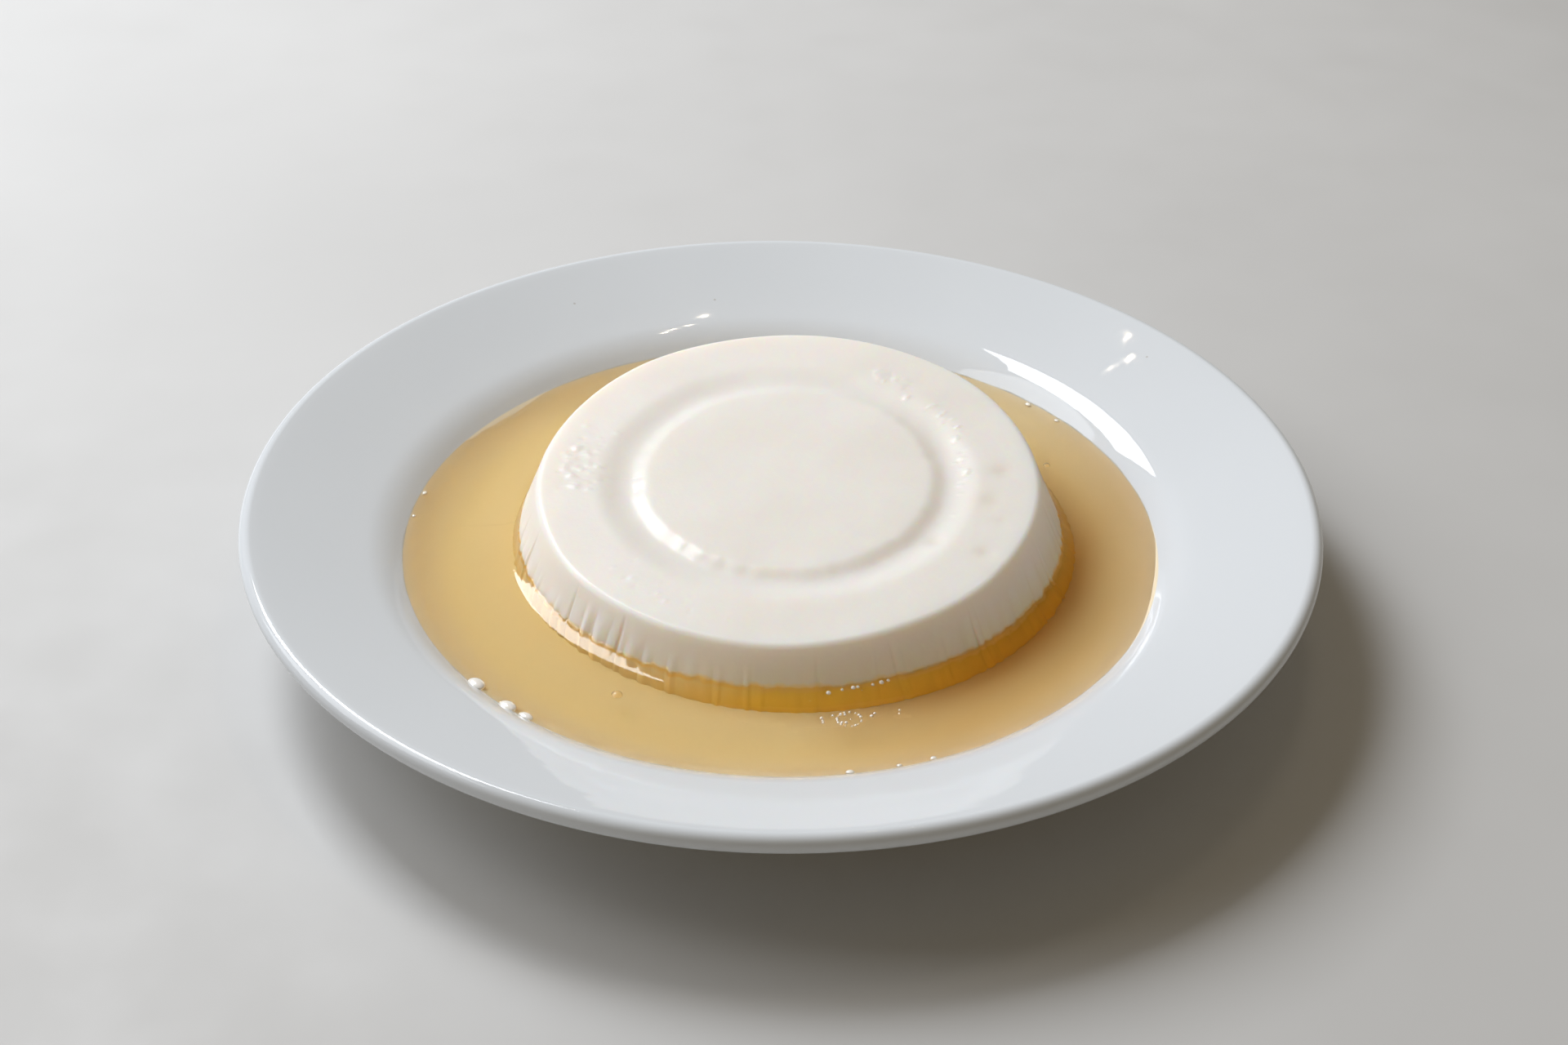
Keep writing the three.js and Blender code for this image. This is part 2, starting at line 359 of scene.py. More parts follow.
class Nodes:
    """A new material, with short ways to add its nodes."""

    def __init__(self, name):
        self.material = bpy.data.materials.new(name)
        self.material.use_nodes = True
        self.tree = self.material.node_tree
        self.shader = self.tree.nodes["Principled BSDF"]
        self.place = self.add("ShaderNodeTexCoord").outputs["Object"]

    def add(self, kind, **values):
        node = self.tree.nodes.new(kind)
        for name, value in values.items():
            setattr(node, name, value)
        return node

    def link(self, source, target):
        self.tree.links.new(source, target)

    def set(self, **values):
        """Constants on the shader's own sockets."""
        for name, value in values.items():
            self.shader.inputs[name.replace("_", " ")].default_value = value

    def wire(self, **sources):
        """Links into the shader's sockets."""
        for name, source in sources.items():
            self.link(source, self.shader.inputs[name.replace("_", " ")])

    def noise(self, scale, detail):
        node = self.add("ShaderNodeTexNoise")
        node.inputs["Scale"].default_value = scale
        node.inputs["Detail"].default_value = detail
        self.link(self.place, node.inputs["Vector"])
        return node.outputs["Fac"]

    def cells(self, scale):
        node = self.add("ShaderNodeTexVoronoi")
        node.inputs["Scale"].default_value = scale
        self.link(self.place, node.inputs["Vector"])
        return node

    def ramp(self, factor, *stops):
        """A colour or grey ramp; each stop is (position, colour or grey)."""
        node = self.add("ShaderNodeValToRGB")
        elements = node.color_ramp.elements
        while len(elements) < len(stops):
            elements.new(0.5)
        for element, (position, value) in zip(elements, stops):
            element.position = position
            element.color = rgba(value)
        self.link(factor, node.inputs["Fac"])
        return node.outputs["Color"]

    def bands(self, length, span, *stops):
        """A ramp over a length: its span and its stops are in millimetres."""
        share = self.math("MULTIPLY", length, 1 / (span * MM))
        return self.ramp(share, *((at / span, value) for at, value in stops))

    def mottle(self, scale, detail, low, high, spread=0.2):
        """Two colours or greys, mottled by noise of this scale."""
        return self.ramp(self.noise(scale, detail), (0.5 - spread, low), (0.5 + spread, high))

    def math(self, operation, a, b):
        node = self.add("ShaderNodeMath", operation=operation)
        for socket, value in zip(node.inputs, (a, b)):
            if isinstance(value, (int, float)):
                socket.default_value = value
            else:
                self.link(value, socket)
        return node.outputs[0]

    def mix(self, factor, a, b):
        """Two colours or greys, constant or linked, mixed by a factor."""
        node = self.add("ShaderNodeMix", data_type="RGBA")
        self.link(factor, node.inputs[0])
        for socket, value in ((node.inputs[6], a), (node.inputs[7], b)):
            if isinstance(value, (tuple, float)):
                socket.default_value = rgba(value)
            else:
                self.link(value, socket)
        return node.outputs[2]

    def bump(self, height, strength, distance, base=None):
        """A bump of this many millimetres, on top of a base normal."""
        node = self.add("ShaderNodeBump")
        node.inputs["Strength"].default_value = strength
        node.inputs["Distance"].default_value = distance * MM
        self.link(height, node.inputs["Height"])
        if base is not None:
            self.link(base, node.inputs["Normal"])
        return node.outputs["Normal"]

    def height(self):
        """Height over the table, in metres."""
        node = self.add("ShaderNodeSeparateXYZ")
        self.link(self.place, node.inputs[0])
        return node.outputs["Z"]

    def heading(self, side):
        """From -1 to 1 at the dessert's foot: 1 is towards this side."""
        node = self.add("ShaderNodeVectorMath", operation="DOT_PRODUCT")
        node.inputs[1].default_value = (side[0] / (BASE_R * MM), side[1] / (BASE_R * MM), 0)
        self.link(self.place, node.inputs[0])
        return node.outputs["Value"]

    def distance(self, place):
        """Distance from a place, in metres."""
        node = self.add("ShaderNodeVectorMath", operation="DISTANCE")
        node.inputs[1].default_value = place
        self.link(self.place, node.inputs[0])
        return node.outputs["Value"]


def glaze_specks(m):
    """Rare small specks in the glaze, as a factor."""
    cells = m.cells(SPECK_SCALE)
    speck = m.ramp(cells.outputs["Distance"], (0.05, 1.0), (0.09, 0.0))
    number = m.add("ShaderNodeSeparateColor")
    m.link(cells.outputs["Color"], number.inputs[0])
    chosen = m.math("GREATER_THAN", number.outputs[0], SPECK_RARITY)
    return m.math("MULTIPLY", m.math("MULTIPLY", speck, chosen), SPECK_STRENGTH)


def glaze_under_syrup(m, height):
    """The glaze's colour under the syrup: a stain stronger up the wall, and a
    painted shadow of the dessert near its foot on the side away from the lights."""
    stain = m.bands(height, HEIGHT_SPAN, (7.6, STAIN_LOW), (11.4, STAIN_HIGH))
    # Painted shadow: darker near the dessert's foot, most on the side away from the lights
    middle = (BASE_CENTRE[0] * MM, BASE_CENTRE[1] * MM, FLOOR_Z * MM)
    near = m.bands(m.distance(middle), REACH_SPAN, (60, 0.85), (67, 0.45), (80, 0.28))
    side = m.ramp(m.heading(DARKEST_SHADE_SIDE), (0.5, 0.0), (0.98, 1.0))
    return m.mix(m.math("MULTIPLY", near, side), stain, PAINTED_POOL_SHADOW)


def make_glaze():
    """Glossy white porcelain glaze, bare and rough on the foot ring."""
    m = Nodes("plate_glaze")
    m.set(IOR=1.42)
    height = m.height()
    bare = m.bands(height, 1, (0.30, 1.0), (0.55, 0.0))
    wet = m.bands(height, HEIGHT_SPAN, (12.3, 1.0), (12.5, 0.0))
    body = m.mottle(14, 2, *GLAZE_TONES, spread=0.15)
    body = m.mix(glaze_specks(m), body, SPECK_COLOUR)
    # Under the syrup: a stain, and the dessert's painted shadow
    body = m.mix(wet, body, glaze_under_syrup(m, height))
    body = m.mix(bare, body, BARE_COLOUR)
    rough = m.mix(wet, m.mottle(30, 4, *GLAZE_ROUGHNESS), UNDER_SYRUP_ROUGHNESS)
    rough = m.mix(bare, rough, BARE_ROUGHNESS)
    peel = m.bump(m.noise(95, 2), 0.06, 0.6)
    grit = m.bump(m.math("MULTIPLY", bare, m.noise(2500, 4)), 0.5, 0.2, peel)
    m.wire(Base_Color=body, Roughness=rough, Normal=grit)
    return m.material


def soaked_cream(m, height):
    """The cream's colour in the syrup: soaked amber, deeper and darker towards
    the side away from the lights as painted shade, with an amber ring at the waterline."""
    # Painted shade: the soaked colour deepens and darkens towards the side away from the lights
    side = m.heading(SHADED_SIDE)
    colour = m.ramp(side, (0.42, SOAKED_PALE), (0.75, SOAKED_AND_SHADED))
    darker = m.ramp(m.heading(DARKEST_SHADE_SIDE), (0.65, 0.0), (1.0, 0.9))
    colour = m.mix(darker, colour, SOAKED_AND_DARKEST_SHADE)
    stops = ((12.4, 0.0), (13.0, 0.8), (13.8, 0.8), (14.3, 0.0))
    return m.mix(m.bands(height, HEIGHT_SPAN, *stops), colour, WATERLINE_COLOUR)


def dry_cream(m, height):
    """The cream's colour in the air: painted shade in hollows, and painted warm
    shade low down on the side away from the lights."""
    body = m.mottle(45, 3, *CREAM_TONES, spread=0.15)
    # Painted shade in the crimps' hollows and the dimples, from a mesh attribute
    relief = m.add("ShaderNodeAttribute", attribute_name="painted_hollow_shade")
    painted_hollow_shade = m.ramp(relief.outputs["Fac"], (0.2, 0.4), (0.55, 0.0))
    body = m.mix(painted_hollow_shade, body, PAINTED_HOLLOW_SHADE)
    # Painted warm shade, low down on the side away from the lights
    low = m.bands(height, HEIGHT_SPAN, (13.6, 0.75), (19.6, 0.0))
    side = m.ramp(m.heading(SHADED_SIDE), (0.2, 0.0), (0.7, 1.0))
    return m.mix(m.math("MULTIPLY", low, side), body, PAINTED_WARM_SHADE)


def make_cream():
    """Set cream: bright, a little translucent, with a moist skin; its foot
    has drawn in syrup. Its lower side away from the lights has painted shade."""
    m = Nodes("set_cream")
    m.set(IOR=1.42, Coat_Roughness=0.1)
    m.set(Subsurface_Radius=CREAM_GLOW, Subsurface_Scale=CREAM_GLOW_REACH * MM)
    uneven = m.math("MULTIPLY", m.noise(300, 2), 2.2 * MM)
    height = m.math("ADD", m.height(), uneven)
    soaked = m.bands(height, HEIGHT_SPAN, (13.4, 1.0), (14.3, 0.0))
    body = m.mix(soaked, dry_cream(m, height), soaked_cream(m, height))
    rough = m.mix(soaked, m.mottle(120, 3, *CREAM_ROUGHNESS), SOAKED_ROUGHNESS)
    soft = m.bump(m.noise(260, 3), 0.12, 0.5)
    pores = m.ramp(m.cells(900).outputs["Distance"], (0.0, 0.0), (0.35, 1.0))
    m.wire(
        Base_Color=body,
        Roughness=rough,
        Normal=m.bump(pores, 0.08, 0.1, soft),
        Subsurface_Weight=m.ramp(soaked, (0.0, 0.85), (1.0, 0.15)),
        Coat_Weight=m.ramp(soaked, (0.0, 0.12), (1.0, 0.0)),
    )
    return m.material


def make_syrup():
    """Clear amber syrup, coloured by what it absorbs on the way."""
    m = Nodes("syrup")
    m.set(Base_Color=rgba(SYRUP_SURFACE))
    m.set(Transmission_Weight=1.0, IOR=1.34, Roughness=0.0)
    absorb = m.add("ShaderNodeVolumeAbsorption")
    absorb.inputs["Color"].default_value = rgba(SYRUP_COLOUR)
    absorb.inputs["Density"].default_value = SYRUP_DENSITY
    m.link(absorb.outputs[0], m.tree.nodes["Material Output"].inputs["Volume"])
    m.wire(Normal=m.bump(m.noise(60, 1), 0.03, 0.4))
    return m.material


def make_froth_and_glints():
    """Pale froth of small beads and drops, wet on the outside; the same pale beads and drops also
    stand in for glints on the skin and the pool's edge (painted glints).
    """
    m = Nodes("pale_froth_and_glints")
    m.set(IOR=1.5, Coat_Weight=1.0, Coat_Roughness=0.04)
    m.wire(
        Base_Color=m.mottle(500, 2, *FROTH_TONES),
        Roughness=m.mottle(700, 2, *FROTH_ROUGHNESS),
    )
    return m.material


def make_bubble_film():
    """The thin clear film of a bubble."""
    m = Nodes("bubble_film")
    m.set(Base_Color=rgba(FILM_COLOUR))
    m.set(Transmission_Weight=1.0, IOR=1.38)
    m.wire(Roughness=m.mottle(900, 2, *FILM_ROUGHNESS))
    return m.material


def make_floor():
    """A plain pale floor."""
    m = Nodes("floor")
    m.wire(
        Base_Color=m.mottle(9, 4, *FLOOR_TONES),
        Roughness=m.mottle(40, 3, *FLOOR_ROUGHNESS),
    )
    return m.material


# ---------------------------------------------------------------------------
# Plate
# ---------------------------------------------------------------------------

WELL_CENTRE = (FLOOR_R, FLOOR_Z + WELL_FILLET)
UNDER_Z = FLOOR_Z - THICKNESS


def wall_points(inset):
    """The well's floor corner and wall, pushed into the porcelain by inset."""
    well = arc(WELL_CENTRE, WELL_FILLET + inset, -90, WALL_SLOPE - 90, WELL_STEPS)
    slant = math.radians(WALL_SLOPE)
    run = (WALL_TOP_Z - inset * math.cos(slant) - well[-1][1]) / math.sin(slant)
    return well, along(well[-1], WALL_SLOPE, run)


def rounded_corner(before, corner, after, reach):
    """A quadratic bend that replaces a corner between three section points."""
    def towards(point):
        gap = math.dist(point, corner)
        return tuple(c + (p - c) * reach / gap for p, c in zip(point, corner))

    start, stop = towards(before), towards(after)
    bend = []
    for i in range(BEND_STEPS + 1):
        t = i / BEND_STEPS
        bend.append(tuple(
            (1 - t) ** 2 * a + 2 * t * (1 - t) * c + t * t * b
            for a, c, b in zip(start, corner, stop)
        ))
    return bend


def foot_section():
    """The foot ring, from the outside in."""
    outer = (FOOT_OUTER_R - FOOT_DRAFT - FOOT_ROUND, FOOT_ROUND)
    inner = (FOOT_INNER_R + FOOT_DRAFT + FOOT_ROUND, FOOT_ROUND)
    return [
        *((FOOT_OUTER_R + out, UNDER_Z - down) for out, down in FOOT_JOIN_OUTER),
        *arc(outer, FOOT_ROUND, 0, -90, FOOT_ROUND_STEPS),
        *line((outer[0], 0.0), (inner[0], 0.0), FOOT_FACE_STEPS),
        *arc(inner, FOOT_ROUND, -90, -180, FOOT_ROUND_STEPS),
        *((FOOT_INNER_R - out, UNDER_Z - down) for out, down in FOOT_JOIN_INNER),
    ]


def plate_section():
    """The plate's section, from the floor's middle out over the rim and back
    underneath."""
    well, wall_top = wall_points(0.0)
    shoulder_centre = along(wall_top, WALL_SLOPE - 90, SHOULDER_R)
    shoulder = arc(shoulder_centre, SHOULDER_R, WALL_SLOPE + 90, RIM_SLOPE + 90, SHOULDER_STEPS)
    lip = arc((LIP_R, LIP_Z), LIP_ROLL, RIM_SLOPE + 90, RIM_UNDER_SLOPE - 90, LIP_STEPS)
    span = lip[-1][0] - shoulder[-1][0] - THICKNESS / 2
    under_length = span / math.cos(math.radians(RIM_UNDER_SLOPE))
    under_shoulder = along(lip[-1], RIM_UNDER_SLOPE, -under_length)
    under_wall_top = along(wall_top, WALL_SLOPE - 90, THICKNESS)
    under_r = WELL_FILLET + THICKNESS
    under_well = arc(WELL_CENTRE, under_r, WALL_SLOPE - 90, FOOT_SLOPE - 90, UNDER_WELL_STEPS)
    return [
        *line((0.0, FLOOR_Z), (FLOOR_R, FLOOR_Z), FLOOR_STEPS),
        *well,
        *line(well[-1], wall_top, WALL_STEPS),
        *shoulder,
        *line(shoulder[-1], lip[0], RIM_STEPS),
        *lip,
        *line(lip[-1], under_shoulder, RIM_STEPS),
        *rounded_corner(lip[-1], under_shoulder, under_wall_top, UNDER_BEND),
        *line(under_wall_top, under_well[0], UNDER_WALL_STEPS),
        *under_well,
        *foot_section(),
        *line((FOOT_INNER_R, UNDER_Z), (0.0, UNDER_Z), FLOOR_STEPS),
    ]


def make_plate(material):
    """The section turned round, with a slight warp that grows to the lip."""
    angle = round_angles(PLATE_AROUND)
    rng = np.random.default_rng(PLATE_SEED)
    warp = waves(angle, WARP_WAVES, RIM_WARP, rng)
    rings = [np.array([[0.0, 0.0, UNDER_Z]])]
    for radius, height in reversed(plate_section()):
        lift = warp * ease((radius - FLOOR_R) / (LIP_R - FLOOR_R))
        rings.append(np.stack([radius * np.cos(angle), radius * np.sin(angle), height + lift], 1))
    rings.append(np.array([[0.0, 0.0, FLOOR_Z]]))
    return loft("soup_plate", rings, material)


# ---------------------------------------------------------------------------
# Dessert
# ---------------------------------------------------------------------------


def draw_crimps():
    """Each crimp's start, depth, end, peak, width and lean, and the depth of
    the crease at its start."""
    rng = np.random.default_rng(CRIMP_SEED)
    scatter = rng.uniform(-CRIMP_SCATTER, CRIMP_SCATTER, CRIMPS)
    shallow, deep = CRIMP_DEPTH
    return SimpleNamespace(
        start=(np.arange(CRIMPS) + scatter) * TAU / CRIMPS,
        depth=shallow + (deep - shallow) * rng.random(CRIMPS) ** CRIMP_BIAS,
        end=rng.uniform(*CRIMP_END, CRIMPS),
        peak=rng.uniform(*CRIMP_PEAK, CRIMPS),
        width=rng.uniform(*CRIMP_WIDTH, CRIMPS),
        lean=rng.normal(0, CRIMP_LEAN, CRIMPS),
        crease=CREASE_DEPTH * (rng.random(CRIMPS) < CREASE_SHARE) * rng.random(CRIMPS),
    )


def draw_outline():
    """The outline's waves: their number, size and phase."""
    rng = np.random.default_rng(OUTLINE_SEED)
    return [(n, rng.uniform(*OUTLINE_SIZES), rng.uniform(0, TAU)) for n in OUTLINE_COUNTS]


CRIMP = draw_crimps()
OUTLINE_WAVES = draw_outline()


def crimp_relief(angle, share):
    """How far the crimped side stands out, at an angle and a share of the
    side's height from 0 at the base to 1 at the top corner."""
    stretches = (swell(turn_of(angle), *stretch) for stretch in CRIMPED_STRETCHES)
    strength = CRIMP_STRENGTH + sum(stretches)
    starts = np.append(CRIMP.start, CRIMP.start[0] + TAU)
    angle = angle - share * np.interp(angle, CRIMP.start, CRIMP.lean, period=TAU)
    turned = (angle - starts[0]) % TAU + starts[0]
    index = np.clip(np.searchsorted(starts, turned, side="right") - 1, 0, CRIMPS - 1)
    width = starts[index + 1] - starts[index]
    across = (turned - starts[index]) / width
    bulge = swell(across, 1.0, CRIMP.peak[index], CRIMP.width[index]) - CRIMP_MEAN
    fade = ease((CRIMP.end[index] - share) / CRIMP_FADE)
    gap = np.minimum(across, 1 - across) * width * BASE_R
    nearest = np.where(across < 0.5, index, (index + 1) % CRIMPS)
    crease = swell(gap, CRIMP.crease[nearest], 0, CREASE_WIDTH)
    relief = CRIMP.depth[index] * fade * bulge - crease * ease((1 - share) / CRIMP_FADE)
    return strength * relief


def top_height(x, y):
    """The leaning plane of the top."""
    return TOP_Z + LEAN_X * x + LEAN_Y * y


def outline_wobble(angle):
    return sum(size * np.cos(n * angle + phase) for n, size, phase in OUTLINE_WAVES)


def side_lines(angle):
    """Base point, top corner and outward direction at each angle."""
    out = np.stack([np.cos(angle), np.sin(angle)], 1)
    wobble = outline_wobble(angle)[:, None]
    base = BASE_CENTRE + out * (BASE_R + wobble)
    corner = TOP_CENTRE + out * (TOP_R + wobble)
    base = np.column_stack([base, np.full(len(angle), FLOOR_Z + DESSERT_LIFT)])
    corner = np.column_stack([corner, top_height(corner[:, 0], corner[:, 1])])
    return base, corner, np.column_stack([out, np.zeros(len(angle))])


def drawn_in(angle, share):
    """How much steeper the foot is on one side, under the syrup."""
    turn, width = DRAWN_SIDE
    off_turn = (np.degrees(angle) - turn + 180) % 360 - 180
    return swell(off_turn, DRAWN_IN, 0, width) * np.clip(1 - share / DRAWN_SHARE, 0, 1)


def side_ring(angle, share, inset=0.0):
    """A ring of the side; share may differ from point to point."""
    base, corner, out = side_lines(angle)
    share = np.ones_like(angle) * share
    reach = crimp_relief(angle, share) - drawn_in(angle, share) - inset
    return base + (corner - base) * share[:, None] + out * reach[:, None]


def share_at(angle, height):
    """The share of the side's height at a height over the table."""
    base, corner, _ = side_lines(angle)
    return (height - base[:, 2]) / (corner[:, 2] - base[:, 2])


# Small marks on the top: x, y, radius and depth; a negative depth is a bump.
DIMPLES = [
    (46.1, 4.2, 2.3, 0.26),
    (42.9, -5.3, 2.2, 0.2),
    (40.6, -21.8, 1.9, 0.24),
    (44.5, -12.0, 1.4, 0.1),
    (30.9, -17.8, 1.7, 0.22),
    (-15.6, -21.6, 1.0, -0.06),
    (-18.6, -19.4, 0.9, 0.05),
    (-12.2, -23.2, 0.8, -0.06),
    (-29.3, -29.8, 0.7, -0.12),
    (-30.4, -29.2, 0.5, 0.10),
    (13.2, -48.4, 0.6, -0.06),
    (21.0, -31.0, 1.4, 0.06),
]

# Patches of tiny bumps and pits: turns and radii round the groove, count, size.
SPECKLES = [
    ((160, 192), (38.5, 48.5), 90, 0.55),
    ((-12, 16), (35.2, 38.6), 26, 0.5),
    ((18, 48), (36.0, 41.0), 22, 0.5),
    ((50, 68), (39.0, 43.0), 30, 0.6),
    ((-140, -100), (40.0, 48.0), 14, 0.4),
]
SPECKLE_SEED = 99
SPECKLE_SIZES = (0.7, 1.3)
SPECKLE_DEPTHS = (-0.22, 0.12)


def gathered(limits, rng):
    """A draw that gathers about the middle of its limits."""
    return rng.normal(sum(limits) / 2, (limits[1] - limits[0]) / 4)


def speckle_marks():
    """The patches' marks, as DIMPLES gives them."""
    rng = np.random.default_rng(SPECKLE_SEED)
    marks = []
    for turns, radii, count, size in SPECKLES:
        for _ in range(count):
            angle = math.radians(gathered(turns, rng))
            radius = gathered(radii, rng)
            x = GROOVE_CENTRE[0] + radius * math.cos(angle)
            y = GROOVE_CENTRE[1] + radius * math.sin(angle)
            marks.append((x, y, size * rng.uniform(*SPECKLE_SIZES), rng.uniform(*SPECKLE_DEPTHS)))
    return marks


MARKS = DIMPLES + speckle_marks()


def top_relief(x, y):
    """Groove, swells, dimples and bumps: what is added to the sloping top."""
    rng = np.random.default_rng(TOP_SEED)
    across = np.hypot(x - GROOVE_CENTRE[0], y - GROOVE_CENTRE[1])
    round_it = np.arctan2(y - GROOVE_CENTRE[1], x - GROOVE_CENTRE[0])
    outer_wobble = waves(round_it, *OUTER_EDGE_WAVES, rng)
    inner_wobble = waves(round_it, *INNER_EDGE_WAVES, rng)
    depth = GROOVE_DEPTH + waves(round_it, *DEPTH_WAVES, rng)
    depth += swell(turn_of(round_it), *GROOVE_SHALLOWER)
    outer = (GROOVE_OUTER_R + outer_wobble - across) / (GROOVE_OUTER_R - GROOVE_BOTTOM_R)
    inner = (GROOVE_BOTTOM_R + inner_wobble - across) / (GROOVE_BOTTOM_R - GROOVE_INNER_R)
    relief = -depth * ease(outer) + (depth - DISC_DROP) * ease(inner)
    relief += ripples(x, y, *TOP_SWELLS, rng)
    relief += ripples(x, y, *TOP_RIPPLES, rng)
    for mark_x, mark_y, radius, mark_depth in MARKS:
        relief -= mark_depth * np.exp(-((x - mark_x) ** 2 + (y - mark_y) ** 2) / radius**2)
    return relief


def edge_ring(angle, turn):
    """The rounded top edge, from the side at turn 0 to the top at turn 1."""
    _, corner, out = side_lines(angle)
    down = side_ring(angle, 0.0) - corner
    down /= np.linalg.norm(down, axis=1)[:, None]
    side = corner + down * EDGE_ROUND
    top = corner - out * EDGE_ROUND
    top[:, 2] = top_height(top[:, 0], top[:, 1])
    ring = side * (1 - turn) ** 2 + corner * 2 * turn * (1 - turn) + top * turn**2
    ring[:, 2] += top_relief(ring[:, 0], ring[:, 1]) * turn
    return ring


def top_ring(angle, radius):
    """A ring of the top, its centre moving from the outline's to the groove's."""
    edge_r = TOP_R - EDGE_ROUND
    share = ease((edge_r - radius) / (edge_r - GROOVE_OUTER_R))
    centre = TOP_CENTRE + (GROOVE_CENTRE - TOP_CENTRE) * share
    wobble = outline_wobble(angle) * (1 - share)
    x = centre[0] + (radius + wobble) * np.cos(angle)
    y = centre[1] + (radius + wobble) * np.sin(angle)
    return np.column_stack([x, y, top_height(x, y) + top_relief(x, y)])


def lower_rings(angle):
    """Rings of the underside and side, and the crimps' relief at each point."""
    base_line, corner, _ = side_lines(angle)
    edge_share = 1 - EDGE_ROUND / np.linalg.norm(base_line - corner, axis=1)
    middle = np.array([[*BASE_CENTRE, FLOOR_Z + DESSERT_LIFT]])
    base = side_ring(angle, 0.0)
    rings = [middle] + [middle + (base - middle) * share for share in UNDERSIDE_SHARES]
    relief = [np.zeros(len(ring)) for ring in rings]
    for share in [0, FOOT_RING, *np.linspace(0, 1, SIDE_STEPS + 1)[1:]]:
        rings.append(side_ring(angle, share * edge_share))
        relief.append(crimp_relief(angle, share * edge_share))
    return rings, np.concatenate(relief)


def upper_rings(angle, side_end):
    """Rings of the rounded edge, which starts at the side's last ring, and of
    the top up to its middle."""
    blend = side_end - edge_ring(angle, 0.0)
    turns = np.linspace(0, 1, EDGE_STEPS + 1)[1:]
    rings = [edge_ring(angle, turn) + blend * (1 - turn) ** 3 for turn in turns]
    disc_r = GROOVE_INNER_R - DISC_MARGIN
    outer_radii = np.linspace(TOP_R - EDGE_ROUND, disc_r, TOP_STEPS + 1)[1:]
    inner_radii = np.linspace(disc_r, CENTRE_RING_R, DISC_STEPS + 1)[1:]
    rings.extend(top_ring(angle, radius) for radius in [*outer_radii, *inner_radii])
    centre = np.array([GROOVE_CENTRE])
    peak = top_height(*GROOVE_CENTRE) + top_relief(centre[:, 0], centre[:, 1])
    rings.append(np.column_stack([centre, peak]))
    return rings


def mark_painted_hollow_shade(piece, spots, side_relief):
    """A point attribute for the cream's painted shade in hollows: 0.5, and less there."""
    height = np.zeros(len(spots))
    side_count = len(side_relief)
    height[:side_count] = side_relief
    for x, y, radius, depth in DIMPLES:
        away = np.hypot(spots[side_count:, 0] - x, spots[side_count:, 1] - y)
        height[side_count:] -= swell(away, depth * DIMPLE_SHADE_SHARE, 0, radius)
    painted_hollow_shade = piece.data.attributes.new("painted_hollow_shade", "FLOAT", "POINT")
    painted_hollow_shade.data.foreach_set("value", 0.5 + height / CRIMP_SPAN)


def make_dessert(material):
    angle = round_angles(DESSERT_AROUND)
    rings, side_relief = lower_rings(angle)
    rings += upper_rings(angle, rings[-1])
    piece = loft("set_cream", rings, material)
    mark_painted_hollow_shade(piece, np.concatenate(rings), side_relief)
    return piece


# ---------------------------------------------------------------------------
# Syrup
# ---------------------------------------------------------------------------


def outer_climb(angle):
    """How high the pool's edge stands on the wall above the level."""
    rng = np.random.default_rng(EDGE_SEED)
    turn = turn_of(angle)
    climb = np.full_like(angle, MENISCUS)
    for edge_waves in EDGE_WAVES:
        climb += waves(angle, *edge_waves, rng)
    for change in EDGE_CHANGES:
        climb += swell(turn, *change)
    return climb + swell(turn, *RAGGED_STRETCH) * waves(angle, *RAGGED_WAVES, rng)


def smooth_climb(angle):
    """How high the syrup stands on a plain dessert above the level."""
    rng = np.random.default_rng(CLIMB_SEED)
    turn = turn_of(angle)
    climb = INNER_CLIMB + waves(angle, *CLIMB_WAVES, rng)
    return climb + sum(swell(turn, *change) for change in CLIMB_CHANGES)


def inner_skin(climb, away):
    """Height of the skin at a distance from the dessert: it falls from there
    ever less steeply, and rises again slowly to the level."""
    near = np.minimum(away, INNER_REACH)
    fall = near / 2 + INNER_REACH / TAU * np.sin(math.pi * near / INNER_REACH)
    lowest = climb - INNER_SLOPE * INNER_REACH / 2
    back = ease((away - INNER_REACH) / RETURN_REACH)
    return climb - INNER_SLOPE * fall - lowest * back


def pool_ripple(x, y):
    """Low ripples of the skin, and the bent ridge at the front."""
    rng = np.random.default_rng(POOL_SEED)
    field = ripples(x, y, *POOL_RIPPLES, rng)
    away = np.hypot(x - RIDGE_CENTRE[0], y - RIDGE_CENTRE[1])
    field += swell(away, RIDGE_HEIGHT, RIDGE_R, RIDGE_WIDTH) * (y < RIDGE_CENTRE[1])
    return field


def skin_shares(width):
    """Places of the skin's rings between dessert (0) and plate (1)."""
    near = SKIN_FINE * np.linspace(0, 1, SKIN_FINE_STEPS + 1) ** SKIN_FINE_POWER
    inner = [step / width for step in near]
    outer = [1 - step / width for step in near]
    shares = np.linspace(0, 1, SKIN_STEPS + 1)[1:-1]
    middle = [inner[-1] + (outer[-1] - inner[-1]) * share for share in shares]
    return [*outer, *middle[::-1], *inner[::-1]]


def syrup_top(angle):
    """Rings of the pool's skin, from the plate's wall in to the dessert."""
    well, _ = wall_points(0.0)
    outer_z = SYRUP_LEVEL + outer_climb(angle)
    outer_r = well[-1][0] + (outer_z - well[-1][1]) / math.tan(math.radians(WALL_SLOPE))
    outer = np.stack([outer_r * np.cos(angle), outer_r * np.sin(angle)], 1)
    climb = smooth_climb(angle)
    relief = crimp_relief(angle, share_at(angle, SYRUP_LEVEL))
    inner_share = share_at(angle, SYRUP_LEVEL + climb - INNER_SLOPE * relief)
    inner = side_ring(angle, inner_share)[:, :2]
    width = np.linalg.norm(outer - inner, axis=1)
    rings = []
    for share in skin_shares(width):
        spot = inner + (outer - inner) * share[:, None]
        to_wall = (1 - share) * width
        to_dessert = share * width
        calm = ease(np.minimum(to_wall, to_dessert) / CALM_REACH)
        height = SYRUP_LEVEL + pool_ripple(spot[:, 0], spot[:, 1]) * calm
        height += (outer_z - SYRUP_LEVEL) * np.exp(-to_wall / MENISCUS_FADE)
        height += inner_skin(climb, to_dessert + relief)
        rings.append(np.column_stack([spot, height]))
    return rings


